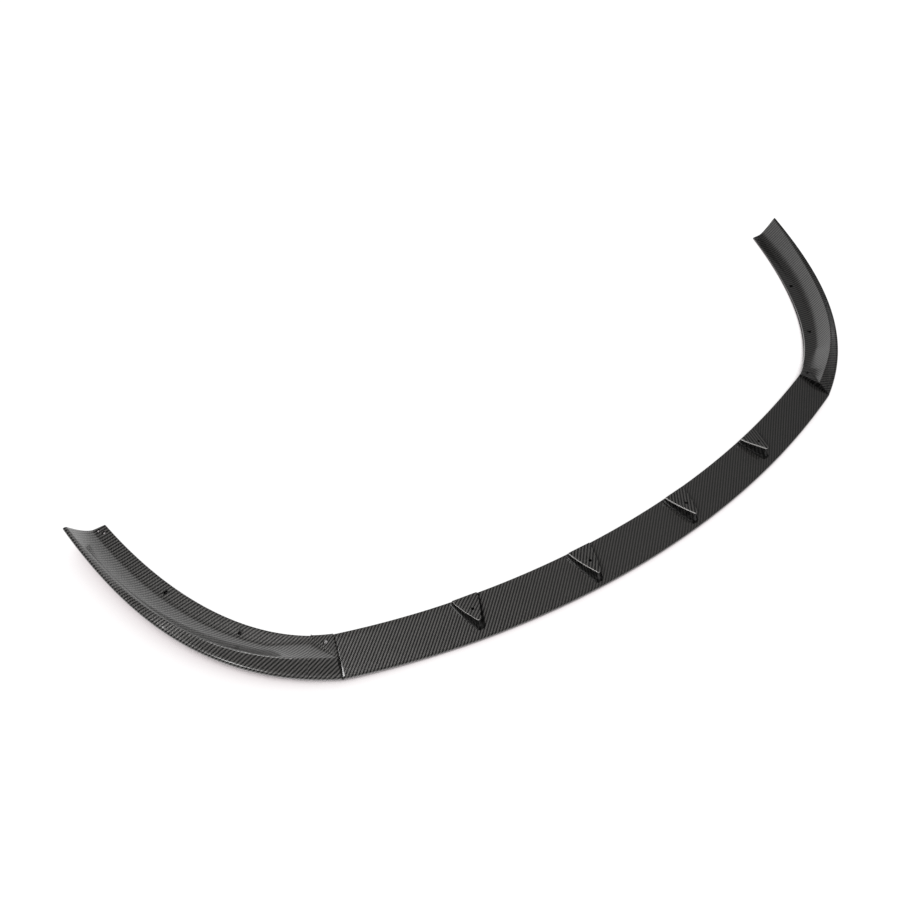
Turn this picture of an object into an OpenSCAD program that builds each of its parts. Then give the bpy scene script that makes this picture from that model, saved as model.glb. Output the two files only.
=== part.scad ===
// Front splitter lip for a car bumper, laid up in carbon fibre.
// A flat centre blade carries four struts near its rear edge, and a curved end
// section is bonded to each end of it. The struts and the end sections' inner
// flanges take the screws that hold the lip under the bumper.
// The lip stands on the blade's front edge and on the two flange ends:
// X runs across the car, the front edge faces -Y and +Z is up.

/* [Centre blade] */
// Half of the blade's length, measured along its front edge
blade_half_front = 580; // [500:5:640]
// Half of the blade's length, measured along its rear edge
blade_half_rear = 564; // [490:2:620]
// Depth of the blade from front to rear at the middle of the car
blade_depth = 79; // [65:1:95]
// Radius of the front edge seen from above
front_radius = 1891; // [1500:1:2400]
// Radius of the rear edge seen from above
rear_radius = 1923; // [1500:1:2400]
// Height of the turned-down front edge
nose_height = 9; // [7:0.5:12]
// Radius that rounds the front edge over into the top
nose_radius = 5; // [4:0.5:6]
// How far the blade's ends sweep up at the front
sweep_front = 7; // [0:0.5:9]
// How far the blade's ends sweep up at the rear
sweep_rear = 8; // [0:0.5:12]

/* [End sections] */
// Half of the lip's overall width, at the tips
tip_half_width = 895; // [820:1:960]
// Distance from the front of the blade to the tips
lip_depth = 560; // [480:5:640]
// Width of the end section at the tip
tip_width = 55; // [40:1:64]
// Width of the outer band where the end section meets the blade
band_at_seam = 32; // [24:1:38]
// Width of the outer band at the tip
band_at_tip = 7.5; // [7:0.5:12]
// Height of the ridge between band and cove where the end section meets the blade
ridge_at_seam = 28; // [24:1:34]
// Height of the ridge at the tip
ridge_at_tip = 45; // [36:1:54]
// How softly the ridge is rounded
ridge_soft = 2; // [1:0.5:3]
// Width of the flat screw flange along the inner edge
flange_width = 19; // [15:1:24]
// Share of the end section's length taken by the three-cornered screw pad
pad_share = 0.09; // [0.06:0.01:0.14]
// Height of the screw pad's edge above the cove
pad_wall = 3.5; // [1:0.5:5]
// Step from the blade's rear corner up to the screw pad
seam_step = 4; // [1:0.5:6]
// How hollow the cove is: 1 is a straight slope
cove_power = 1.9; // [1.2:0.1:2.6]

/* [Struts] */
// Distance of the inner and the outer struts from the middle of the car
strut_x = [115.5, 343]; // [100:0.5:360]
// Width of a strut's top plate at its rear edge
strut_width = 45; // [36:1:54]
// Length of the top plates of the inner and the outer struts
strut_length = [58, 50]; // [44:1:64]
// Height of a strut's top plate above the blade at its rear edge
strut_rear_height = 12; // [9:0.5:18]
// Height of a strut's top plate above the blade at its front tip
strut_tip_height = 24; // [12:0.5:30]
// Thickness of a strut's top plate
strut_plate = 3.5; // [3:0.5:5]
// Radius of a strut's front tip
strut_tip_r = 4.5; // [3:0.5:6]
// How far a strut's foot spreads beyond the plate at its sides
foot_spread = 4.5; // [2:0.5:8]
// How far a strut's foot reaches forward of the plate
foot_reach = 11; // [6:1:14]

/* [Laminate and screw holes] */
// Thickness of the laminate
skin = 3; // [2:0.25:4]
// Diameter of the screw holes in the struts
strut_hole_d = 5.5; // [4:0.5:6.5]
// Depth of the screw holes in the struts
strut_hole_depth = 10; // [6:1:12]
// Place of a strut's screw hole, as a share of its length from the rear edge
strut_hole_share = 0.54; // [0.45:0.01:0.6]
// Diameter of the screw holes in the end sections
flange_hole_d = 6; // [4:0.5:8]

/* [Hidden] */

carbon = [0.16, 0.16, 0.17];
blade_steps = 14;          // sections in each half of the blade
sweep_start = 0.66;        // share of the half length that stays flat
end_steps = 26;            // sections along an end section beyond its screw pad
pad_steps = 7;             // sections along the screw pad
pad_corner = 0.08;         // share of the pad's width at which its corner meets the ridge
cove_steps = 8;            // faces across the cove
nose_steps = 3;            // faces round the front edge
wall_share = 0.005;        // length share of the wall that closes the end section at the seam
tip_nose = 37;             // height of the outer edge's underside at the tip
strut_side_steps = 9;      // faces along each side of a strut
strut_tip_steps = 6;       // faces round a strut's tip
hole_fn = 32;

// Screw holes in an end section: X, Y from the middle of the blade's front edge
flange_holes = [[854, 554], [846, 545], [783, 378], [697, 246], [580, 157]];

// Shares of the height under a strut's plate, and how far its outline stands out there
// at the sides and at the front
strut_rings = [[0, foot_spread, foot_reach], [0.06, 0.6 * foot_spread, 0.8 * foot_reach],
               [0.18, 0.2 * foot_spread, 0.58 * foot_reach], [0.4, -0.8, 0.34 * foot_reach],
               [0.7, -1.8, 0.12 * foot_reach], [1, -2.5, -1]];

// Y of the blade's front and rear edges at a distance from the middle of the car
function front_y(x) = front_radius - sqrt(front_radius * front_radius - x * x);
function rear_y(x) = blade_depth + rear_radius - sqrt(rear_radius * rear_radius - x * x);

function mix(a, b, t) = a + (b - a) * t;
function bezier(p, t) = pow(1 - t, 3) * p[0] + 3 * t * pow(1 - t, 2) * p[1]
                        + 3 * t * t * (1 - t) * p[2] + pow(t, 3) * p[3];
function plan(p) = [p[0], p[1]];

// Sweep-up of the blade at a share of its half length
function sweep(a) = pow(max(0, abs(a) - sweep_start) / (1 - sweep_start), 1.5);

// Rails of the end section: X, Y and height from the seam to the tip
outer_rail = [[blade_half_front, front_y(blade_half_front), sweep_front], [767, 183, 19],
              [843, 348, 29.5], [tip_half_width, lip_depth, tip_nose]];
inner_rail = [[blade_half_rear, rear_y(blade_half_rear), nose_height + sweep_rear + seam_step],
              [689, 219, 8], [780, 364, 4.5], [tip_half_width - tip_width, lip_depth, skin]];
ridge_heights = [ridge_at_seam, ridge_at_seam + 21, ridge_at_tip - 22, ridge_at_tip];

function ridge_offset(t) = band_at_tip + (band_at_seam - band_at_tip) * pow(1 - t, 1.25);
function on_pad(t) = t < pad_share + 0.001;

// Height of the inner edge: beyond the pad it drops by the pad's wall and rises back to the rail
function inner_height(t) = bezier(inner_rail, t)[2]
    - (on_pad(t) ? 0 : pad_wall * pow(max(0, 1 - (t - pad_share) / 0.5), 2));

// Edge between cove and pad, or between cove and flange: distance inwards and height
function pad_edge(t) = min(0.97, max(pad_corner, t / pad_share));
function flange_at(t) = flange_width * min(1, max(0.08, (t - pad_share) / 0.15));
function edge(t, width) = on_pad(t)
    ? [mix(ridge_offset(t), width, pad_edge(t)),
       mix(ridge_at_seam, bezier(inner_rail, pad_share)[2], pad_edge(t))]
    : [width - flange_at(t), inner_height(t)];

// Foot of the small wall that lifts the pad out of the cove
function wall_foot(t, e) = on_pad(t)
    ? e - [0.8, pad_wall * min(1, 2.2 * pad_edge(t))]
    : e - [0.8, 0];

// Rounded front edge: distance inwards and height, from its lower rim to the top
function nose(z) = concat([[0, z]],
    [for (i = [0 : nose_steps]) let (a = 90 * i / nose_steps)
        [nose_radius * (1 - cos(a)), z + nose_height - nose_radius * (1 - sin(a))]]);

// Outer surface of the end section across its width
function end_profile(t) = let (
        o = bezier(outer_rail, t), n = bezier(inner_rail, t),
        width = norm(plan(n) - plan(o)), rim = [width, inner_height(t)],
        ridge = [ridge_offset(t), bezier(ridge_heights, t)],
        top = [nose_radius, o[2] + nose_height], e = edge(t, width), foot = wall_foot(t, e),
        slope = cove(ridge, foot, 0.1))
    concat(nose(o[2]),
        [soft_corner(top, ridge, slope, 0), soft_corner(top, ridge, slope, 0.5)],
        [for (i = [0 : cove_steps]) cove(ridge, foot, max(0.035, i / cove_steps))],
        [e, mix(e, rim, 0.5), rim]);
function cove(ridge, foot, q) =
    [mix(ridge[0], foot[0], q), foot[1] + (ridge[1] - foot[1]) * pow(1 - q, cove_power)];

// Point on the rounding of a corner between two neighbours, k from 0 to 1
function soft_corner(before, corner, after, k) = let (
        r = min(ridge_soft, 0.45 * (corner[0] - before[0])),
        a = corner + r * (before - corner) / norm(before - corner),
        b = corner + r * (after - corner) / norm(after - corner))
    a * pow(1 - k, 2) + corner * 2 * k * (1 - k) + b * k * k;

// The blade's own surface carried on under the end section, at the same distances
function seat_profile(t) = let (
        top = end_profile(t), last = len(top) - 1, start = nose_steps + 1,
        a = top[start], b = [top[last][0], nose_height + sweep_rear])
    [for (i = [0 : last]) i <= start ? top[i]
        : [top[i][0], mix(a[1], b[1], (top[i][0] - a[0]) / (b[0] - a[0]))]];

// Inner surface: the outer one moved in by the laminate's thickness
function inward(p, i) = let (last = len(p) - 1,
        d = p[min(i + 1, last)] - p[max(i - 1, 0)])
    p[i] + skin * [d[1], -d[0]] / norm(d);
function underside(p) = [for (i = [0 : len(p) - 1]) inward(p, i)];

// One cross-section placed in space: across from point o towards point n
function section(o, n, top, under) = let (d = (n - o) / norm(n - o))
    [for (p = concat(top, [for (i = [len(under) - 1 : -1 : 0]) under[i]]))
        [o[0] + d[0] * p[0], o[1] + d[1] * p[0], p[1]]];

function end_section(t, closed) = let (top = end_profile(t))
    section(plan(bezier(outer_rail, t)), plan(bezier(inner_rail, t)), top,
            underside(closed ? seat_profile(t) : top));

function blade_section(a) = let (
        o = [blade_half_front * a, front_y(blade_half_front * a)],
        n = [blade_half_rear * a, rear_y(blade_half_rear * a)],
        z = sweep_front * sweep(a), width = norm(n - o),
        rear = nose_height + sweep_rear * sweep(a), front = z + nose_height,
        top = concat(nose(z), [for (i = [1 : 3])
            [mix(nose_radius, width, i / 3), mix(front, rear, i / 3)]]))
    section(o, n, top, underside(top));

// Shares of an end section's length at which its sections lie
end_stations = concat(
    [for (i = [1 : pad_steps]) mix(wall_share + 0.002, pad_share, i / pad_steps)],
    [pad_share + 0.003],
    [for (i = [1 : end_steps]) mix(pad_share, 1, i / end_steps)]);

// Solid through a row of sections that have the same number of points
module loft(sections) {
    n = len(sections[0]);
    m = len(sections);
    half = n / 2;
    sides = [for (s = [0 : m - 2]) for (i = [0 : n - 1]) let (j = (i + 1) % n)
        each [[s * n + i, s * n + j, (s + 1) * n + j], [s * n + i, (s + 1) * n + j, (s + 1) * n + i]]];
    first = [for (i = [0 : half - 2])
        each [[i, n - 1 - i, n - 2 - i], [i, n - 2 - i, i + 1]]];
    last = [for (f = first) [(m - 1) * n + f[0], (m - 1) * n + f[2], (m - 1) * n + f[1]]];
    polyhedron(points = [for (s = sections) each s], faces = concat(sides, first, last), convexity = 6);
}

module end_shell() {
    loft(concat(
        [end_section(0, true), end_section(wall_share, true), end_section(wall_share + 0.002, false)],
        [for (t = end_stations) end_section(t, false)]));
}

// End section of the +X side with its screw holes
module right_shell() {
    difference() {
        end_shell();
        for (p = flange_holes)
            translate([p[0], p[1], -1]) cylinder(d = flange_hole_d, h = 40, $fn = hole_fn);
    }
}

// Rear edge of strut k, just behind which the blade ends
function strut_back(k) = rear_y(strut_x[k]) - 2;

// Outline of strut k, spread sideways and reaching forward
function strut_outline(k, spread, reach) = let (
        x0 = strut_x[k], run = strut_length[k] - strut_tip_r)
    concat(
        [for (i = [0 : strut_side_steps]) strut_side(k, -1, i / strut_side_steps, spread, reach)],
        [for (i = [1 : strut_tip_steps - 1]) let (a = 180 + 180 * i / strut_tip_steps)
            [x0 + (strut_tip_r + spread) * cos(a),
             strut_back(k) - run - reach + strut_tip_r * sin(a)]],
        [for (i = [strut_side_steps : -1 : 0]) strut_side(k, 1, i / strut_side_steps, spread, reach)]);
function strut_side(k, side, v, spread, reach) = let (
        slope = strut_x[k] / rear_radius, run = strut_length[k] - strut_tip_r,
        half = strut_tip_r + (strut_width / 2 - strut_tip_r) * (1 - pow(v, 1.35)) + spread)
    [strut_x[k] + side * half,
     strut_back(k) - run * v - reach * v * v + side * half * slope * (1 - v)];

// Height of the sloping top plate of strut k above the blade
function plate_height(k, y) = strut_rear_height
    + (strut_tip_height - strut_rear_height) * (strut_back(k) - y) / strut_length[k];

module strut(k) {
    y = strut_back(k) - strut_hole_share * strut_length[k];
    top = nose_height + plate_height(k, y);
    color(carbon)
    translate([0, -lip_depth / 2, 0])
    difference() {
        strut_body(k);
        translate([strut_x[k], y, top - strut_hole_depth])
            cylinder(d = strut_hole_d, h = strut_hole_depth + 3, $fn = hole_fn);
    }
}

// Waisted body between the spread foot and the shield-shaped top plate
module strut_body(k) {
    plate = strut_outline(k, 0, 0);
    inset = strut_outline(k, -0.6, -0.6);
    n = len(plate);
    lower = [for (r = strut_rings) let (line = strut_outline(k, r[1], r[2]))
        [for (i = [0 : n - 1])
            [line[i][0], line[i][1],
             nose_height + r[0] * (plate_height(k, plate[i][1]) - strut_plate)]]];
    upper = [for (drop = [strut_plate, 0.6])
        [for (p = plate) [p[0], p[1], nose_height + plate_height(k, p[1]) - drop]]];
    face = [for (p = inset) [p[0], p[1], nose_height + plate_height(k, p[1])]];
    rings = concat(lower, upper, [face]);
    m = len(rings);
    sides = [for (s = [0 : m - 2]) for (i = [0 : n - 1]) let (j = (i + 1) % n)
        each [[s * n + i, (s + 1) * n + j, s * n + j], [s * n + i, (s + 1) * n + i, (s + 1) * n + j]]];
    base = [for (i = [0 : n - 1]) i];
    top = [for (i = [n - 1 : -1 : 0]) (m - 1) * n + i];
    polyhedron(points = [for (r = rings) each r], faces = concat(sides, [base, top]), convexity = 4);
}

module centre_blade() {
    color(carbon)
    translate([0, -lip_depth / 2, 0])
    loft([for (i = [-blade_steps : blade_steps]) blade_section(i / blade_steps)]);
}

module right_end() {
    color(carbon)
    translate([0, -lip_depth / 2, 0])
    right_shell();
}

module left_end() {
    mirror([1, 0, 0]) right_end();
}

module strut_inner_right() { strut(0); }
module strut_outer_right() { strut(1); }
module strut_inner_left() { mirror([1, 0, 0]) strut(0); }
module strut_outer_left() { mirror([1, 0, 0]) strut(1); }

centre_blade();
left_end();
right_end();
strut_outer_left();
strut_inner_left();
strut_inner_right();
strut_outer_right();
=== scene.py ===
"""Front splitter lip in lacquered carbon-fibre twill, dressed over its CAD model."""
import math

import bpy
from bpy.props import FloatProperty, FloatVectorProperty, PointerProperty
from mathutils import Matrix, Vector


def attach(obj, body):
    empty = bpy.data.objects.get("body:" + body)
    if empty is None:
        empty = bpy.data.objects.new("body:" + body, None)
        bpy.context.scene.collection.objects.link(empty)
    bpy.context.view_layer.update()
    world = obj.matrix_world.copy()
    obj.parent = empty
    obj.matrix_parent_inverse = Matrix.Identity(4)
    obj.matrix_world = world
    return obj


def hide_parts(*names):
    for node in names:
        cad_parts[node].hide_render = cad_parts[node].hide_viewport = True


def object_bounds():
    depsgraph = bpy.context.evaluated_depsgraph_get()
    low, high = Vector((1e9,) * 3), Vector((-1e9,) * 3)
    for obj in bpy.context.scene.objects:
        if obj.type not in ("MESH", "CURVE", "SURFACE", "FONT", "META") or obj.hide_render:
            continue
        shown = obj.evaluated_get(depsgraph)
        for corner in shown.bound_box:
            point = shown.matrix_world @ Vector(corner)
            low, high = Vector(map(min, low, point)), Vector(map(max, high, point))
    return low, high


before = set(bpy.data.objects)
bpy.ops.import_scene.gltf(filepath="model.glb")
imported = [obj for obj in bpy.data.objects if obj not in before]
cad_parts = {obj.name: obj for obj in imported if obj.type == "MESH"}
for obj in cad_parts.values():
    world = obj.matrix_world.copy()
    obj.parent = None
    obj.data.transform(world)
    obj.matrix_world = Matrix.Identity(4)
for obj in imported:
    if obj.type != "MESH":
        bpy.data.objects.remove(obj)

bl_info = {
    "name": "Carbon splitter lip",
    "version": (1, 0, 0),
    "blender": (4, 5, 0),
    "location": "View3D > Sidebar > Splitter",
    "description": "Models a front splitter lip in carbon-fibre twill, and its studio",
    "category": "Object",
}

MM = 0.001
CAD_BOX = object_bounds()
LOW, HIGH = CAD_BOX
# Y of the middle of the blade's front edge; plan sizes are measured from there
FRONT = LOW.y


class SplitterSizes(bpy.types.PropertyGroup):
    """Sizes of the lip, in millimetres; X and Y are measured from the middle of its front edge."""

    half_front: FloatProperty(name="Blade half, front", description="Half of the blade's front edge", default=580)
    half_rear: FloatProperty(name="Blade half, rear", description="Half of the blade's rear edge", default=564)
    blade_depth: FloatProperty(name="Blade depth", description="Front to rear at the middle", default=79)
    front_radius: FloatProperty(name="Front radius", description="Front edge's radius from above", default=1891)
    rear_radius: FloatProperty(name="Rear radius", description="Rear edge's radius from above", default=1923)
    nose_height: FloatProperty(name="Nose height", description="Height of the turned-down edge", default=9)
    nose_radius: FloatProperty(name="Nose radius", description="Rounding of the front edge", default=5)
    sweep_front: FloatProperty(name="Front sweep", description="Rise of the blade's ends in front", default=7)
    sweep_rear: FloatProperty(name="Rear sweep", description="Rise of the blade's ends at the rear", default=8)
    sweep_start: FloatProperty(name="Sweep start", description="Share of the half that is flat", default=0.66)
    tip_half: FloatProperty(name="Tip half width", description="Half of the overall width", default=HIGH.x / MM)
    lip_depth: FloatProperty(name="Lip depth", description="Front of the blade to the tips",
                             default=(HIGH.y - LOW.y) / MM)
    tip_width: FloatProperty(name="Tip width", description="Width of an end section at its tip", default=55)
    tip_nose: FloatProperty(name="Tip nose", description="Underside of the outer edge at the tip", default=37)
    band_at_seam: FloatProperty(name="Band at seam", description="Width of the outer band", default=32)
    band_at_tip: FloatProperty(name="Band at tip", description="Width of the outer band", default=7.5)
    ridge_at_seam: FloatProperty(name="Ridge at seam", description="Height of the ridge", default=28)
    ridge_at_tip: FloatProperty(name="Ridge at tip", description="Height of the ridge", default=45)
    ridge_soft: FloatProperty(name="Ridge rounding", description="How softly the ridge is rounded", default=2)
    flange_width: FloatProperty(name="Flange", description="Width of the screw flange", default=19)
    pad_share: FloatProperty(name="Pad", description="Share of the length that the screw pad takes", default=0.09)
    pad_wall: FloatProperty(name="Pad wall", description="Height of the pad's edge above the cove", default=3.5)
    seam_step: FloatProperty(name="Seam step", description="Blade's rear corner up to the pad", default=4)
    cove_power: FloatProperty(name="Cove", description="Hollowness of the cove", default=1.9)
    skin: FloatProperty(name="Laminate", description="Thickness of the laminate", default=3)
    hole_d: FloatProperty(name="Flange holes", description="Diameter of the end sections' holes", default=6)
    strut_width: FloatProperty(name="Strut width", description="Top plate's width at its rear", default=45)
    inner_length: FloatProperty(name="Inner struts", description="Length of the inner struts' plates", default=58)
    outer_length: FloatProperty(name="Outer struts", description="Length of the outer struts' plates", default=50)
    strut_rear: FloatProperty(name="Strut height, rear", description="Plate above the blade, rear", default=12)
    strut_front: FloatProperty(name="Strut height, tip", description="Plate above the blade, tip", default=24)
    strut_plate: FloatProperty(name="Strut plate", description="Thickness of the top plate", default=3.5)
    strut_tip_r: FloatProperty(name="Strut tip", description="Radius of the front tip", default=4.5)
    foot_spread: FloatProperty(name="Foot spread", description="Foot beyond the plate at the sides", default=4.5)
    foot_reach: FloatProperty(name="Foot reach", description="Foot ahead of the plate's tip", default=11)
    strut_hole_d: FloatProperty(name="Strut holes", description="Diameter of the struts' holes", default=5.5)
    strut_hole_share: FloatProperty(name="Strut hole place", description="Share of the length", default=0.54)


class SplitterCloth(bpy.types.PropertyGroup):
    """The carbon cloth and its lacquer."""

    tow: FloatProperty(name="Tow width", description="Width of one bundle of fibres, in millimetres", default=1.77)
    metal: FloatProperty(name="Sheen of the fibres", description="Metallic share of the cloth", default=0.4)
    fibre_roughness: FloatProperty(name="Fibre roughness", description="Roughness of the cloth", default=0.42)
    tow_shade: FloatProperty(name="Tow shade", description="How dark a tow's edges are", default=0.85)
    tow_relief: FloatProperty(name="Tow relief", description="Strength of the tows' bump", default=0.35)
    # The tows are the same fibre: the warp's light colour is a painted sheen and the weft's near black a painted
    # shade, standing in for how each catches the light
    warp_sheen_tone: FloatVectorProperty(name="Warp tone", description="Colour of the tows that catch the light",
                                   subtype="COLOR", default=(0.109, 0.105, 0.101))
    weft_shade_tone: FloatVectorProperty(name="Weft tone", description="Colour of the tows that don't",
                                   subtype="COLOR", default=(0.004, 0.004, 0.0042))
    gloss: FloatProperty(name="Lacquer roughness", description="Roughness of the clear coat", default=0.05)
    lacquer_ior: FloatProperty(name="Lacquer IOR", description="Refraction of the clear coat", default=1.5)


class SplitterStage(bpy.types.PropertyGroup):
    """Camera, lamps and floor; the camera's numbers are solved from the photograph."""

    camera_at: FloatVectorProperty(name="Camera", description="Place of the camera", subtype="TRANSLATION",
                                   unit="LENGTH", default=(-0.5635, -0.4321, 1.0300))
    azimuth: FloatProperty(name="Azimuth", description="Camera's turn about Z, degrees", default=-33.756)
    elevation: FloatProperty(name="Elevation", description="Camera above the horizon, degrees", default=57.875)
    roll: FloatProperty(name="Roll", description="Camera's turn about its own axis, degrees", default=3.5)
    lens: FloatProperty(name="Lens", description="Focal length, mm on a 36 mm sensor", default=24.0)
    shift: FloatVectorProperty(name="Shift", description="Camera's shift in shares of the frame", size=2,
                               default=(-0.00056, 0.00056))
    room_left: FloatProperty(name="Room, left", description="Brightness of the room to the left", default=0.07)
    room_right: FloatProperty(name="Room, right", description="Brightness of the room to the right", default=0.26)
    wall_glow: FloatProperty(name="Wall glow", description="Brightness of the lit wall behind", default=1.4)
    floor_mirrored: FloatProperty(name="Floor, mirrored", description="Brightness of the floor in reflections",
                                  default=1.1)
    key_at: FloatVectorProperty(name="Key lamp", description="Place of the lamp in front, to the left",
                                subtype="TRANSLATION", unit="LENGTH", default=(-0.75, -0.35, 1.15))
    key_size: FloatProperty(name="Key size", description="Width of the key lamp", unit="LENGTH", default=0.5)
    key_watts: FloatProperty(name="Key power", description="Power of the key lamp, in watts", default=26.0)
    edge_at: FloatVectorProperty(name="Edge lamp", description="Place of the lamp that draws the edges",
                                 subtype="TRANSLATION", unit="LENGTH", default=(-1.1, 0.05, 1.5))
    edge_size: FloatProperty(name="Edge size", description="Width of the edge lamp", unit="LENGTH", default=0.6)
    edge_watts: FloatProperty(name="Edge power", description="Power of the edge lamp, in watts", default=13.0)


# Screw holes of an end section in millimetres, from the tip to the pad
HOLES = ((854, 554), (846, 545), (783, 378), (697, 246), (580, 157))
# Place and cloth angle of each strut: X in mm, then degrees of the twill's line from +X
STRUTS = {"strut_outer_left": (-343.0, 38), "strut_inner_left": (-115.5, 50),
          "strut_inner_right": (115.5, 56), "strut_outer_right": (343.0, 72)}
# Struts nearer to the middle than this many millimetres are the longer, inner ones
INNER_STRUTS = 200
# Gap between the blade's rear edge and a strut
STRUT_INSET = 2
# Waist of a strut from the foot up: share of the height, share of the foot's spread and millimetres
# beyond the plate at the sides, share of the foot's reach and millimetres beyond the plate's tip
WAIST = ((0, 1, 0, 1, 0), (0.03, 0.78, 0, 0.89, 0), (0.06, 0.6, 0, 0.8, 0), (0.11, 0.38, 0, 0.68, 0),
         (0.18, 0.2, 0, 0.58, 0), (0.28, 0, -0.2, 0.45, 0), (0.4, 0, -0.8, 0.34, 0),
         (0.55, 0, -1.4, 0.22, 0), (0.7, 0, -1.8, 0.12, 0), (0.86, 0, -2.2, 0.02, 0), (1, 0, -2.5, 0, -1))
# The twill's line runs at this angle to the tows, in degrees
TWILL = 45
# Share of the length by which the pad's end is passed for certain
PAST_PAD = 0.001
# Points of an end section's outline: nose, band, ridge, cove and flange
NOSE_STEPS, BAND_STEPS, RIDGE_STEPS, COVE_STEPS, FLANGE_STEPS = 8, 4, 6, 18, 4
# Painted shadow on the floor in the camera's view, by how open the floor is: near the lip it darkens with a faint
# red
SHADOW = ((0.0, (0.004, 0.004, 0.004)), (0.2, (0.03, 0.028, 0.028)), (0.34, (0.66, 0.61, 0.62)),
          (0.65, (0.92, 0.89, 0.895)), (0.9, (1, 1, 1)))
# Way in which the floor's openness is measured, so the painted shadow falls to the front left
SHADOW_LEAN = (0.45, 0.5, 0.74)
SHADOW_REACH = 0.08
# Openness straight up at which the floor under the lip goes from a painted black to its own painted shadow
UNDER_LIP = (0.32, 0.6)
UNDER_REACH = 0.05
# Floor's brightness in the camera's view, just past white
FLOOR_SEEN = 1.08
# Spans of the view direction, per axis, over which the room fades in: right, high, behind, low
ROOM_SPANS = ((0, (0.2, 0.65)), (2, (0.28, 0.55)), (1, (0.5, 0.85)), (2, (0.7, 0.4)))
# X in metres over which the blade's painted sheen on the warp fades, so the cloth loses contrast towards the right
SHEEN_FADE_SPAN = (-0.45, 0.05)


def mix(a, b, t):
    """Value between a and b."""
    return a + (b - a) * t


def bezier(p, t):
    """Point on a cubic curve."""
    return ((1 - t) ** 3 * p[0] + 3 * t * (1 - t) ** 2 * p[1]
            + 3 * t * t * (1 - t) * p[2] + t ** 3 * p[3])


def sizes():
    """Settings of the lip's shape."""
    return bpy.context.scene.splitter_sizes


def front_y(x):
    """Blade's front edge from above."""
    r = sizes().front_radius
    return r - math.sqrt(r * r - x * x)


def rear_y(x):
    """Blade's rear edge from above."""
    s = sizes()
    return s.blade_depth + s.rear_radius - math.sqrt(s.rear_radius ** 2 - x * x)


def sweep(a):
    """Share of the blade's rise at a share of its half length."""
    start = sizes().sweep_start
    return (max(0.0, abs(a) - start) / (1 - start)) ** 1.5


def outer_rail():
    """Curve of an end section's outer edge; the middle points are solved from the photograph."""
    s = sizes()
    return [Vector(p) for p in ((s.half_front, front_y(s.half_front), s.sweep_front), (767, 183, 19),
                                (843, 348, 29.5), (s.tip_half, s.lip_depth, s.tip_nose))]


def inner_rail():
    """Curve of an end section's inner edge; the middle points are solved from the photograph."""
    s = sizes()
    return [Vector(p) for p in ((s.half_rear, rear_y(s.half_rear), s.nose_height + s.sweep_rear + s.seam_step),
                                (689, 219, 8), (780, 364, 4.5),
                                (s.tip_half - s.tip_width, s.lip_depth, s.skin))]


def ridge_height(t):
    """Height of the ridge, which rises fast at both ends."""
    s = sizes()
    return bezier((s.ridge_at_seam, s.ridge_at_seam + 21, s.ridge_at_tip - 22, s.ridge_at_tip), t)


def ridge_offset(t):
    """Width of the outer band."""
    s = sizes()
    return s.band_at_tip + (s.band_at_seam - s.band_at_tip) * (1 - t) ** 1.25


def inner_height(t):
    """Height of the inner edge; beyond the pad it drops by the pad's wall and rises back to the rail."""
    s = sizes()
    drop = 0 if t < s.pad_share + PAST_PAD else s.pad_wall * max(0, 1 - (t - s.pad_share) / 0.5) ** 2
    return bezier(inner_rail(), t).z - drop


def rounded(before, corner, after, steps):
    """Points of a soft corner between two neighbours, in 2D."""
    r = min(sizes().ridge_soft, 0.45 * (corner.x - before.x))
    a = corner + (before - corner).normalized() * r
    b = corner + (after - corner).normalized() * r
    return [a * (1 - k) ** 2 + corner * 2 * k * (1 - k) + b * k * k
            for k in (i / steps for i in range(steps + 1))]


def nose(z):
    """Rounded front edge, from its lower rim to the top."""
    s = sizes()
    r, h = s.nose_radius, s.nose_height
    arc = [math.radians(90 * i / NOSE_STEPS) for i in range(NOSE_STEPS + 1)]
    return [Vector((0, z))] + [Vector((r * (1 - math.cos(a)), z + h - r * (1 - math.sin(a)))) for a in arc]


def end_profile(t):
    """Outer surface across an end section: distance inwards and height."""
    s = sizes()
    o, n = bezier(outer_rail(), t), bezier(inner_rail(), t)
    width = (n.xy - o.xy).length
    rim = Vector((width, inner_height(t)))
    ridge = Vector((ridge_offset(t), ridge_height(t)))
    if t < s.pad_share + PAST_PAD:
        share = min(0.97, max(0.08, t / s.pad_share))
        edge = Vector((mix(ridge.x, width, share),
                       mix(s.ridge_at_seam, bezier(inner_rail(), s.pad_share).z, share)))
        foot = edge - Vector((0.8, s.pad_wall * min(1, 2.2 * share)))
    else:
        edge = Vector((width - s.flange_width * min(1, max(0.08, (t - s.pad_share) / 0.15)), rim.y))
        foot = edge - Vector((0.8, 0))
    start = nose(o.z)
    top = start[-1]

    def cove(q):
        return Vector((mix(ridge.x, foot.x, q), foot.y + (ridge.y - foot.y) * (1 - q) ** s.cove_power))

    soft = rounded(top, ridge, cove(0.1), RIDGE_STEPS)
    first = (soft[-1].x - ridge.x) / (foot.x - ridge.x)
    band = [top.lerp(soft[0], k / (BAND_STEPS + 1)) for k in range(1, BAND_STEPS + 1)]
    hollow = [cove(mix(first, 1, k / COVE_STEPS)) for k in range(1, COVE_STEPS + 1)]
    flange = [edge.lerp(rim, k / FLANGE_STEPS) for k in range(1, FLANGE_STEPS + 1)]
    return start + band + soft + hollow + [edge] + flange


def seat_profile(t):
    """The blade's surface carried on under an end section, at the same distances."""
    s = sizes()
    top = end_profile(t)
    start = NOSE_STEPS + 1
    a, b = top[start], Vector((top[-1].x, s.nose_height + s.sweep_rear))
    return [p if i <= start else Vector((p.x, mix(a.y, b.y, (p.x - a.x) / (b.x - a.x))))
            for i, p in enumerate(top)]


def underside(points):
    """The same line moved in by the laminate's thickness."""
    last = len(points) - 1
    moved = []
    for i, p in enumerate(points):
        d = (points[min(i + 1, last)] - points[max(i - 1, 0)]).normalized()
        moved.append(p + Vector((d.y, -d.x)) * sizes().skin)
    return moved


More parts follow.
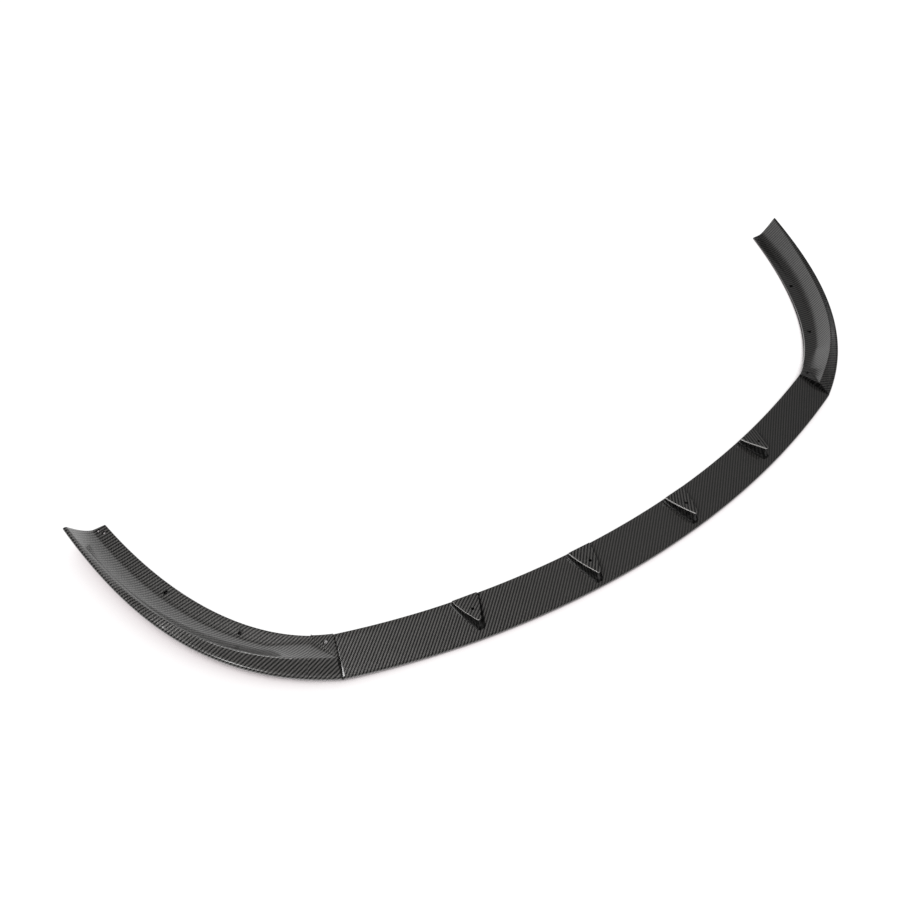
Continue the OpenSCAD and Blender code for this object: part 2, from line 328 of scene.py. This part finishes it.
def ring(o, n, top, under, cloth_at=None):
    """One closed section placed in space, with the cloth's place at each point.

    The cloth follows the plan, or goes through cloth_at where the cloth turns along the piece.
    """
    across = (n - o).normalized()
    points, cloth = [], []
    whole = sum((b - a).length for a, b in zip(top, top[1:]))
    run = 0.0
    for i, p in enumerate(top):
        run += (p - top[i - 1]).length if i else 0.0
        points.append(Vector((o.x + across.x * p.x, o.y + across.y * p.x, p.y)))
        cloth.append(o + across * run if cloth_at is None else cloth_at(across, run - whole / 2))
    for p, c in zip(reversed(under), reversed(list(cloth))):
        points.append(Vector((o.x + across.x * p.x, o.y + across.y * p.x, p.y)))
        cloth.append(c)
    return points, cloth


def end_rings(stations):
    """Sections of an end section; the first two are closed below by the seam's wall.

    The cloth is laid as on the left, so both ends mirror each other; its line turns from 23 degrees
    at the seam to 9 further out, and it is pulled a little wider towards the tip.
    """
    middle = [(bezier(outer_rail(), t) + bezier(inner_rail(), t)) / 2 for t in stations]
    rings, base = [], Vector((0, 0))
    for i, t in enumerate(stations):
        line = 9 + 14 * max(0, 1 - t / 0.4) ** 2
        turn = Matrix.Rotation(math.radians(TWILL - line), 2) * (1 / (1 + 0.24 * t))
        if i:
            step = middle[i] - middle[i - 1]
            base = base + turn @ Vector((-step.x, step.y))

        def cloth_at(across, run, base=base, turn=turn):
            return base + turn @ (Vector((-across.x, across.y)) * run)

        top = end_profile(t)
        rings.append(ring(bezier(outer_rail(), t).xy, bezier(inner_rail(), t).xy, top,
                          underside(seat_profile(t) if i < 2 else top), cloth_at))
    return rings


def blade_ring(a):
    """Section of the blade at a share of its half length, from -1 on the left to 1 on the right."""
    s = sizes()
    o = Vector((s.half_front * a, front_y(s.half_front * a)))
    n = Vector((s.half_rear * a, rear_y(s.half_rear * a)))
    z = s.sweep_front * sweep(a)
    width = (n - o).length
    front, rear = z + s.nose_height, s.nose_height + s.sweep_rear * sweep(a)
    top = nose(z) + [Vector((mix(s.nose_radius, width, k / 6), mix(front, rear, k / 6))) for k in range(1, 7)]
    return ring(o, n, top, underside(top))


def choose(obj):
    """Makes one object the only selected one and the active one."""
    bpy.ops.object.select_all(action="DESELECT")
    obj.select_set(True)
    bpy.context.view_layer.objects.active = obj


def edit(obj):
    """Opens one object for editing with everything deselected."""
    choose(obj)
    bpy.ops.object.mode_set(mode="EDIT")
    bpy.ops.mesh.select_mode(type="VERT")
    bpy.ops.mesh.select_all(action="DESELECT")


def close_up():
    """Caps the open ends of the mesh in edit mode, turns its faces outwards and leaves edit mode."""
    bpy.ops.mesh.select_non_manifold()
    bpy.ops.mesh.edge_face_add()
    bpy.ops.mesh.select_all(action="SELECT")
    bpy.ops.mesh.normals_make_consistent(inside=False)
    bpy.ops.object.mode_set(mode="OBJECT")


def loft(name, rings, side=1):
    """Closed shell through rows of rings: a grid primitive rolled up, closed and capped."""
    count, rows = len(rings[0][0]), len(rings)
    bpy.ops.object.select_all(action="DESELECT")
    bpy.ops.mesh.primitive_grid_add(x_subdivisions=count, y_subdivisions=rows - 1, size=2)
    obj = bpy.context.active_object
    obj.name = obj.data.name = name
    mesh = obj.data
    place = {}
    for v in mesh.vertices:
        i = round((v.co.x + 1) / 2 * count)
        j = round((v.co.y + 1) / 2 * (rows - 1))
        place[v.index] = (i, j)
    uv = mesh.uv_layers.active.data
    for loop in mesh.loops:
        i, j = place[loop.vertex_index]
        uv[loop.index].uv = rings[j][1][i % count] * MM
    for v in mesh.vertices:
        i, j = place[v.index]
        p = rings[j][0][i % count]
        v.co = Vector((p.x * side * MM, p.y * MM + FRONT, p.z * MM))
    edit(obj)
    bpy.ops.mesh.select_all(action="SELECT")
    bpy.ops.mesh.remove_doubles(threshold=1e-6)
    bpy.ops.mesh.select_all(action="DESELECT")
    close_up()
    # The caps are new faces, so they take the cloth's place from the sides
    uv = mesh.uv_layers.active.data
    known = {loop.vertex_index: uv[loop.index].uv.copy() for face in mesh.polygons if len(face.vertices) < 5
             for loop in (mesh.loops[k] for k in face.loop_indices)}
    for face in mesh.polygons:
        if len(face.vertices) > 4:
            for k in face.loop_indices:
                uv[k].uv = known[mesh.loops[k].vertex_index]
    return obj


def drill(obj, x, y, low, high, diameter):
    """Cuts a round hole down through a piece; x, y in millimetres, from the front edge's middle."""
    bpy.ops.object.select_all(action="DESELECT")
    bpy.ops.mesh.primitive_cylinder_add(vertices=40, radius=diameter / 2 * MM, depth=(high - low) * MM,
                                        location=(x * MM, y * MM + FRONT, (low + high) / 2 * MM))
    tool = bpy.context.active_object
    choose(obj)
    cut = obj.modifiers.new("hole", "BOOLEAN")
    cut.operation = "DIFFERENCE"
    cut.solver = "EXACT"
    cut.object = tool
    bpy.ops.object.modifier_apply(modifier=cut.name)
    bpy.data.objects.remove(tool)


def soften(obj, width, segments=2, sharp=38, smooth=32):
    """Rounds the edges above the sharp angle by a width in millimetres, and smooths those below the other."""
    choose(obj)
    round_off = obj.modifiers.new("edges", "BEVEL")
    round_off.width = width * MM
    round_off.segments = segments
    round_off.limit_method = "ANGLE"
    round_off.angle_limit = math.radians(sharp)
    round_off.use_clamp_overlap = True
    bpy.ops.object.modifier_apply(modifier=round_off.name)
    bpy.ops.object.shade_smooth_by_angle(angle=math.radians(smooth))


def seat(obj, node, materials, pick=None):
    """Gives a finished piece its place on the body and its materials; pick numbers the one of a face."""
    obj.data.materials.clear()
    for material in materials:
        obj.data.materials.append(material)
    for face in obj.data.polygons:
        face.material_index = pick(face) if pick else 0
    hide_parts(node)
    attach(obj, "root")


def shader_node(tree, kind, inputs=None, **settings):
    """Adds a shader node; an input is given as a value or as the socket that feeds it."""
    n = tree.nodes.new("ShaderNode" + kind)
    for key, value in settings.items():
        setattr(n, key, value)
    for key, value in (inputs or {}).items():
        if isinstance(value, bpy.types.NodeSocket):
            tree.links.new(value, n.inputs[key])
        else:
            n.inputs[key].default_value = value
    return n


def math_node(tree, operation, *values):
    """Output of a calculation with values or sockets."""
    return shader_node(tree, "Math", dict(enumerate(values)), operation=operation).outputs[0]


def ramp(tree, value, span, top=1.0):
    """Output that rises softly from 0 to the top over a span of the value."""
    ends = {"Value": value, "From Min": span[0], "From Max": span[1], "To Max": top}
    return shader_node(tree, "MapRange", ends, interpolation_type="SMOOTHSTEP").outputs["Result"]


def new_material(name):
    """Empty material with its node tree."""
    m = bpy.data.materials.new(name)
    m.use_nodes = True
    return m, m.node_tree


def twill_group():
    """Two-over two-under twill: which tow is on top and how it bulges."""
    name = "twill_cloth"
    if name in bpy.data.node_groups:
        return bpy.data.node_groups[name]
    g = bpy.data.node_groups.new(name, "ShaderNodeTree")
    g.interface.new_socket("Cloth", in_out="INPUT", socket_type="NodeSocketVector")
    g.interface.new_socket("Tow", in_out="INPUT", socket_type="NodeSocketFloat")
    g.interface.new_socket("Warp", in_out="OUTPUT", socket_type="NodeSocketFloat")
    g.interface.new_socket("Bulge", in_out="OUTPUT", socket_type="NodeSocketFloat")
    i, o = g.nodes.new("NodeGroupInput"), g.nodes.new("NodeGroupOutput")
    split = shader_node(g, "SeparateXYZ", {0: i.outputs["Cloth"]})
    p, q = (math_node(g, "DIVIDE", split.outputs[k], i.outputs["Tow"]) for k in (0, 1))
    cell = math_node(g, "SUBTRACT", math_node(g, "FLOOR", p), math_node(g, "FLOOR", q))
    warp = math_node(g, "LESS_THAN", math_node(g, "FLOORED_MODULO", cell, 4.0), 1.5)
    across_warp, across_weft = (
        math_node(g, "ABSOLUTE", math_node(g, "SUBTRACT", math_node(g, "FRACT", k), 0.5)) for k in (p, q))
    across = shader_node(g, "Mix", {"Factor": warp, "A": across_weft, "B": across_warp}).outputs["Result"]
    edge = math_node(g, "POWER", math_node(g, "MULTIPLY", across, 2.0), 2.4)
    g.links.new(warp, o.inputs["Warp"])
    g.links.new(math_node(g, "SUBTRACT", 1.0, edge), o.inputs["Bulge"])
    return g


def carbon(name, turn, tone_share_under_painted_shade=1.0, coat=1.0, sheen_fade=0.0):
    """Lacquered carbon twill with its warp turned by an angle, in degrees.

    The fade is the share of contrast, the warp's painted sheen, that the cloth loses towards the right; a tone
    share below one darkens both tones as painted shade.
    """
    look = bpy.context.scene.splitter_cloth
    m, tree = new_material(name)
    uv = shader_node(tree, "UVMap", uv_map="UVMap")
    place = shader_node(tree, "Mapping", {"Vector": uv.outputs[0], "Rotation": (0, 0, math.radians(turn))})
    cloth = tree.nodes.new("ShaderNodeGroup")
    cloth.node_tree = twill_group()
    cloth.inputs["Tow"].default_value = look.tow * MM
    tree.links.new(place.outputs[0], cloth.inputs["Cloth"])
    warp, bulge = cloth.outputs["Warp"], cloth.outputs["Bulge"]
    # Painted sheen fades towards the right: the warp's tone is pulled to the middle of both tones
    if sheen_fade:
        split = shader_node(tree, "SeparateXYZ", {0: shader_node(tree, "TexCoord").outputs["Object"]})
        sheen_loss = ramp(tree, split.outputs[0], SHEEN_FADE_SPAN, sheen_fade)
        warp = shader_node(tree, "Mix", {"Factor": sheen_loss, "A": warp, "B": 0.5}).outputs["Result"]
    # Painted sheen on the warp tows, painted shade on the weft tows
    weft_shade_tone, warp_sheen_tone = ((*(c * tone_share_under_painted_shade for c in tone), 1) for tone in (look.weft_shade_tone, look.warp_sheen_tone))
    tone = shader_node(tree, "Mix", {"Factor": warp, "A": weft_shade_tone, "B": warp_sheen_tone}, data_type="RGBA")
    shade = shader_node(tree, "Mix", {"Factor": look.tow_shade, "A": tone.outputs["Result"], "B": bulge},
                        data_type="RGBA", blend_type="MULTIPLY")
    bump = shader_node(tree, "Bump", {"Strength": look.tow_relief, "Distance": 0.3 * MM, "Height": bulge})
    shader = tree.nodes["Principled BSDF"]
    tree.links.new(shade.outputs["Result"], shader.inputs["Base Color"])
    tree.links.new(bump.outputs[0], shader.inputs["Normal"])
    for key, value in (("Metallic", look.metal), ("Roughness", look.fibre_roughness), ("Coat Weight", coat),
                       ("Coat Roughness", look.gloss), ("Coat IOR", look.lacquer_ior)):
        shader.inputs[key].default_value = value
    return m


def rim():
    """Light grey colour on the left-facing rounded rim of a strut's plate: a painted highlight."""
    m, tree = new_material("strut_rim_painted_highlight")
    shader = tree.nodes["Principled BSDF"]
    for key, value in (("Base Color", (0.42, 0.41, 0.4, 1)), ("Roughness", 0.3),
                       ("Coat Weight", 1.0), ("Coat Roughness", 0.05)):
        shader.inputs[key].default_value = value
    return m


class SPLITTER_OT_centre_blade(bpy.types.Operator):
    """Models the centre blade with its rounded front edge."""

    bl_idname = "splitter.centre_blade"
    bl_label = "Centre blade"
    bl_options = {"REGISTER", "UNDO"}

    def execute(self, context):
        steps = 96
        blade = loft("blade_shell", [blade_ring(i / steps) for i in range(-steps, steps + 1)])
        soften(blade, 0.5)
        seat(blade, "centre_blade", [carbon("blade_carbon", 4.0, sheen_fade=0.4)])
        return {"FINISHED"}


class SPLITTER_OT_end_sections(bpy.types.Operator):
    """Models both end sections: band, ridge, cove, flange and screw pad."""

    bl_idname = "splitter.end_sections"
    bl_label = "End sections"
    bl_options = {"REGISTER", "UNDO"}

    def execute(self, context):
        s = sizes()
        # Shares of the length: the seam's wall with the shell's first ring, the pad, and the rest
        wall, shell_start, pad_steps, steps = 0.005, 0.007, 16, 120
        stations = [0, wall, shell_start]
        stations += [mix(shell_start, s.pad_share, k / pad_steps) for k in range(1, pad_steps + 1)]
        stations += [s.pad_share + 0.003]
        stations += [mix(s.pad_share, 1, k / steps) for k in range(1, steps + 1)]
        rings = end_rings(stations)
        for side, node in ((-1, "left_end"), (1, "right_end")):
            shell = loft(node + "_shell", rings, side)
            for x, y in HOLES:
                drill(shell, x * side, y, -2, 40, s.hole_d)
            soften(shell, 0.45)
            # Hole walls and the seam's step wall take the cloth darkened to 0.2 of its tones: painted shade in the
            # holes and at the step
            seat(shell, node, [carbon("end_carbon", 0), carbon("seam_and_hole_shaded_carbon", 0, 0.2, 0.1)],
                 lambda face, side=side: int(self.is_wall(face, side)))
        return {"FINISHED"}

    def is_wall(self, face, side):
        """Tells the walls of the holes and the steep wall that closes the step at the seam, which take the painted
        shade.
        """
        a, b = Vector(outer_rail()[0]).xy, Vector(inner_rail()[0]).xy
        across = (b - a).orthogonal().normalized()
        c = Vector((face.center.x * side, face.center.y - FRONT)) / MM
        around_hole, beside_seam, nearly_flat = 0.3, 2, 0.97
        in_hole = any((c - Vector(hole)).length < 0.5 * sizes().hole_d + around_hole for hole in HOLES)
        at_seam = abs((c - a).dot(across)) < beside_seam and face.normal.z < nearly_flat
        return in_hole or at_seam


class SPLITTER_OT_struts(bpy.types.Operator):
    """Models the four waisted struts with their screw holes."""

    bl_idname = "splitter.struts"
    bl_label = "Struts"
    bl_options = {"REGISTER", "UNDO"}

    def execute(self, context):
        # The wall cloth is the strut's cloth darkened to 0.15 of its tones: painted shade on the waist and foot
        # under the plate
        finishes = [carbon("strut_carbon", 0), carbon("strut_wall_shaded_carbon", 0, 0.15, 0.12), rim()]
        for node, (x, line) in STRUTS.items():
            seat(self.body(node + "_shell", x, line), node, finishes, lambda face, x=x: self.pick(face, x))
        return {"FINISHED"}

    def pick(self, face, x0):
        """Numbers a face's finish: 0 the top plate, 1 the waist and foot below it, in a darker copy of the cloth
        as painted shade, 2 the plate's left-facing rim, in light grey as a painted highlight.
        """
        s = sizes()
        y = (face.center.y - FRONT) / MM
        drop = self.plate(x0, y) - face.center.z / MM + s.nose_height
        below_plate, ahead_of_hole, to_the_left, nearly_flat = 0.9, 0.8, -0.2, 0.93
        # Faces below the plate take the darkened cloth as painted shade
        if drop > below_plate * s.strut_plate:
            return 1
        beside_hole = abs(face.center.x / MM - x0) < s.strut_hole_d
        near_hole = y > self.back(x0) - ahead_of_hole * self.length(x0) and beside_hole
        # Rim faces that face left, away from the hole, take the light grey painted highlight
        return 2 if face.normal.x < to_the_left and face.normal.z < nearly_flat and not near_hole else 0

    def outline(self, x0, spread, reach, side_steps=24, tip_steps=12):
        """Shield outline at x0, spread sideways and reaching forward."""
        s = sizes()
        back, slope = self.back(x0), x0 / s.rear_radius
        run = self.length(x0) - s.strut_tip_r
        sides = []
        for i in range(side_steps + 1):
            v = i / side_steps
            half = s.strut_tip_r + (s.strut_width / 2 - s.strut_tip_r) * (1 - v ** 1.35) + spread
            y = back - run * v - reach * v * v
            sides.append((half, y, slope * half * (1 - v)))
        left = [Vector((x0 - h, y - d)) for h, y, d in sides]
        right = [Vector((x0 + h, y + d)) for h, y, d in reversed(sides)]
        tip = []
        for i in range(1, tip_steps):
            a = math.radians(180 + 180 / tip_steps * i)
            tip.append(Vector((x0 + (s.strut_tip_r + spread) * math.cos(a),
                               back - run - reach + s.strut_tip_r * math.sin(a))))
        return left + tip + right

    def length(self, x0):
        """Length of a strut's top plate."""
        s = sizes()
        return s.inner_length if abs(x0) < INNER_STRUTS else s.outer_length

    def back(self, x0):
        """Y of a strut's rear end."""
        return rear_y(x0) - STRUT_INSET

    def plate(self, x0, y):
        """Height of the sloping top plate above the blade."""
        s = sizes()
        return s.strut_rear + (s.strut_front - s.strut_rear) * (self.back(x0) - y) / self.length(x0)

    def levels(self, x0):
        """Rings of the body from the foot to the plate, as points in millimetres."""
        s = sizes()
        plate = self.outline(x0, 0, 0)
        rings = []
        for share, foot, side, ahead, front in WAIST:
            outline = self.outline(x0, foot * s.foot_spread + side, ahead * s.foot_reach + front)
            rings.append([Vector((q.x, q.y, share * (self.plate(x0, p.y) - s.strut_plate)))
                          for p, q in zip(plate, outline)])
        rings += [[Vector((p.x, p.y, self.plate(x0, p.y) - drop)) for p in plate] for drop in (s.strut_plate, 0)]
        return rings

    def body(self, name, x0, line):
        """Builds one strut by extruding its foot's outline level by level."""
        s = sizes()
        rings = self.levels(x0)
        count = len(rings[0])
        bpy.ops.object.select_all(action="DESELECT")
        bpy.ops.mesh.primitive_circle_add(vertices=count, radius=0.01, fill_type="NOTHING")
        obj = bpy.context.active_object
        obj.name = obj.data.name = name
        for k, points in enumerate(rings):
            if k:
                edit(obj)
                bpy.ops.object.mode_set(mode="OBJECT")
                for v in obj.data.vertices:
                    v.select = v.index >= (k - 1) * count
                bpy.ops.object.mode_set(mode="EDIT")
                bpy.ops.mesh.extrude_edges_move(TRANSFORM_OT_translate={"value": (0, 0, MM)})
                bpy.ops.object.mode_set(mode="OBJECT")
            for i, p in enumerate(points):
                obj.data.vertices[k * count + i].co = (p.x * MM, p.y * MM + FRONT, (s.nose_height + p.z) * MM)
        edit(obj)
        close_up()
        y = self.back(x0) - s.strut_hole_share * self.length(x0)
        top = s.nose_height + self.plate(x0, y)
        drill(obj, x0, y, top - 10, top + 5, s.strut_hole_d)
        soften(obj, 1.3, segments=4)
        self.lay_cloth(obj, line)
        return obj

    def lay_cloth(self, obj, line, drape=0.8, pull=0.87):
        """Lays the cloth from above, draped down the front by a share of the height and pulled wider."""
        if not obj.data.uv_layers:
            obj.data.uv_layers.new(name="UVMap")
        uv = obj.data.uv_layers.active.data
        turn = Matrix.Rotation(math.radians(TWILL - line), 2)
        for loop in obj.data.loops:
            c = obj.data.vertices[loop.vertex_index].co
            uv[loop.index].uv = turn @ Vector((c.x, c.y - drape * c.z)) * pull


class SPLITTER_OT_stage(bpy.types.Operator):
    """Sets up the floor, the light, the surroundings and the camera."""

    bl_idname = "splitter.stage"
    bl_label = "Stage"
    bl_options = {"REGISTER", "UNDO"}

    def execute(self, context):
        stage = context.scene.splitter_stage
        self.floor(stage)
        self.surroundings(context, stage)
        self.lamp("key_lamp", stage.key_at, stage.key_size, stage.key_watts).visible_glossy = False
        self.lamp("edge_lamp", stage.edge_at, stage.edge_size, stage.edge_watts).visible_diffuse = False
        self.camera(context)
        context.scene.view_settings.view_transform = "Standard"
        return {"FINISHED"}

    def floor(self, stage):
        """White glowing floor whose glow carries the lip's soft shadow, painted from how open the floor is, and
        which is mirrored in the lacquer.
        """
        bpy.ops.object.select_all(action="DESELECT")
        bpy.ops.mesh.primitive_plane_add(size=14)
        floor = bpy.context.active_object
        floor.name = floor.data.name = "studio_floor"
        m, tree = new_material("white_floor")
        tree.nodes.clear()
        lean = shader_node(tree, "CombineXYZ", dict(enumerate(SHADOW_LEAN)))
        near = shader_node(tree, "AmbientOcclusion", {"Distance": SHADOW_REACH, "Normal": lean.outputs[0]},
                           samples=12)
        shadow = shader_node(tree, "ValToRGB", {"Fac": near.outputs["AO"]})
        while len(shadow.color_ramp.elements) < len(SHADOW):
            shadow.color_ramp.elements.new(1.0)
        for element, (place, shade) in zip(shadow.color_ramp.elements, SHADOW):
            element.position = place
            element.color = (*shade, 1)
        under = shader_node(tree, "AmbientOcclusion", {"Distance": UNDER_REACH}, samples=8)
        opening = ramp(tree, under.outputs["AO"], UNDER_LIP)
        # Painted shadow: the faint red shadow times a painted black under the lip's holes
        dark = shader_node(tree, "Mix", {"Factor": 1.0, "A": shadow.outputs["Color"], "B": opening},
                           data_type="RGBA", blend_type="MULTIPLY")
        ray = tree.nodes.new("ShaderNodeLightPath")
        camera, glossy = ray.outputs["Is Camera Ray"], ray.outputs["Is Glossy Ray"]
        strength = math_node(tree, "ADD", math_node(tree, "MULTIPLY", camera, FLOOR_SEEN),
                             math_node(tree, "MULTIPLY", glossy, stage.floor_mirrored))
        paper = shader_node(tree, "BsdfDiffuse", {"Color": (0.9, 0.9, 0.9, 1)})
        glow = shader_node(tree, "Emission", {"Color": dark.outputs["Result"], "Strength": strength})
        seen = math_node(tree, "MAXIMUM", camera, glossy)
        blend = shader_node(tree, "MixShader", {0: seen, 1: paper.outputs[0], 2: glow.outputs[0]})
        shader_node(tree, "OutputMaterial", {0: blend.outputs[0]})
        floor.data.materials.append(m)

    def surroundings(self, context, stage):
        """Room seen in the lacquer: dark to the left, brighter to the right, with a lit wall behind."""
        world = bpy.data.worlds.new("studio")
        context.scene.world = world
        world.use_nodes = True
        tree = world.node_tree
        tree.nodes.clear()
        split = shader_node(tree, "SeparateXYZ", {0: shader_node(tree, "TexCoord").outputs["Generated"]})
        right, high, behind, low = (ramp(tree, split.outputs[axis], span) for axis, span in ROOM_SPANS)
        room = math_node(tree, "MULTIPLY", math_node(tree, "MULTIPLY", right, high),
                         stage.room_right - stage.room_left)
        wall = math_node(tree, "MULTIPLY", math_node(tree, "MULTIPLY", behind, low), stage.wall_glow)
        strength = math_node(tree, "ADD", math_node(tree, "ADD", room, stage.room_left), wall)
        soft = shader_node(tree, "Background", {"Strength": strength})
        white = shader_node(tree, "Background", {"Color": (1, 1, 1, 1), "Strength": 1.0})
        camera = tree.nodes.new("ShaderNodeLightPath").outputs["Is Camera Ray"]
        blend = shader_node(tree, "MixShader", {0: camera, 1: soft.outputs[0], 2: white.outputs[0]})
        shader_node(tree, "OutputWorld", {0: blend.outputs[0]})

    def lamp(self, name, at, size, watts):
        """Square lamp aimed at the left half of the lip."""
        bpy.ops.object.light_add(type="AREA", location=at)
        lamp = bpy.context.active_object
        lamp.name = lamp.data.name = name
        lamp.data.size = size
        lamp.data.energy = watts
        lamp.rotation_mode = "QUATERNION"
        aim = Vector((-0.4, 0, 0))
        lamp.rotation_quaternion = (aim - Vector(at)).to_track_quat("-Z", "Y")
        return lamp

    def camera(self, context):
        """Camera solved from the photograph."""
        k = context.scene.splitter_stage
        a, e, r = (math.radians(v) for v in (k.azimuth, k.elevation, k.roll))
        back = Vector((math.sin(a) * math.cos(e), -math.cos(a) * math.cos(e), math.sin(e)))
        right = Vector((math.cos(a), math.sin(a), 0))
        up = back.cross(right)
        right, up = right * math.cos(r) + up * math.sin(r), up * math.cos(r) - right * math.sin(r)
        data = bpy.data.cameras.new("camera")
        data.lens = k.lens
        data.sensor_width = 36
        data.shift_x, data.shift_y = k.shift
        data.clip_start = 0.05
        data.clip_end = 50
        cam = bpy.data.objects.new("camera", data)
        context.scene.collection.objects.link(cam)
        turn = Matrix((right, up, back)).transposed().to_4x4()
        cam.matrix_world = Matrix.Translation(k.camera_at) @ turn
        context.scene.camera = cam


class SPLITTER_PT_panel(bpy.types.Panel):
    """Lists the lip's pieces and their settings."""

    bl_label = "Splitter lip"
    bl_idname = "SPLITTER_PT_panel"
    bl_space_type = "VIEW_3D"
    bl_region_type = "UI"
    bl_category = "Splitter"

    def draw(self, context):
        layout = self.layout
        for operator in OPERATORS:
            layout.operator(operator.bl_idname)
        for group in (context.scene.splitter_sizes, context.scene.splitter_cloth, context.scene.splitter_stage):
            box = layout.box()
            for key in group.__annotations__:
                box.prop(group, key)


OPERATORS = (SPLITTER_OT_centre_blade, SPLITTER_OT_end_sections, SPLITTER_OT_struts, SPLITTER_OT_stage)
GROUPS = (SplitterSizes, SplitterCloth, SplitterStage)


def register():
    for c in GROUPS + OPERATORS + (SPLITTER_PT_panel,):
        bpy.utils.register_class(c)
    bpy.types.Scene.splitter_sizes = PointerProperty(type=SplitterSizes)
    bpy.types.Scene.splitter_cloth = PointerProperty(type=SplitterCloth)
    bpy.types.Scene.splitter_stage = PointerProperty(type=SplitterStage)


def unregister():
    del bpy.types.Scene.splitter_sizes
    del bpy.types.Scene.splitter_cloth
    del bpy.types.Scene.splitter_stage
    for c in reversed(GROUPS + OPERATORS + (SPLITTER_PT_panel,)):
        bpy.utils.unregister_class(c)


def main():
    register()
    for operator in (bpy.ops.splitter.centre_blade, bpy.ops.splitter.end_sections,
                     bpy.ops.splitter.struts, bpy.ops.splitter.stage):
        operator()


if __name__ == "__main__":
    main()
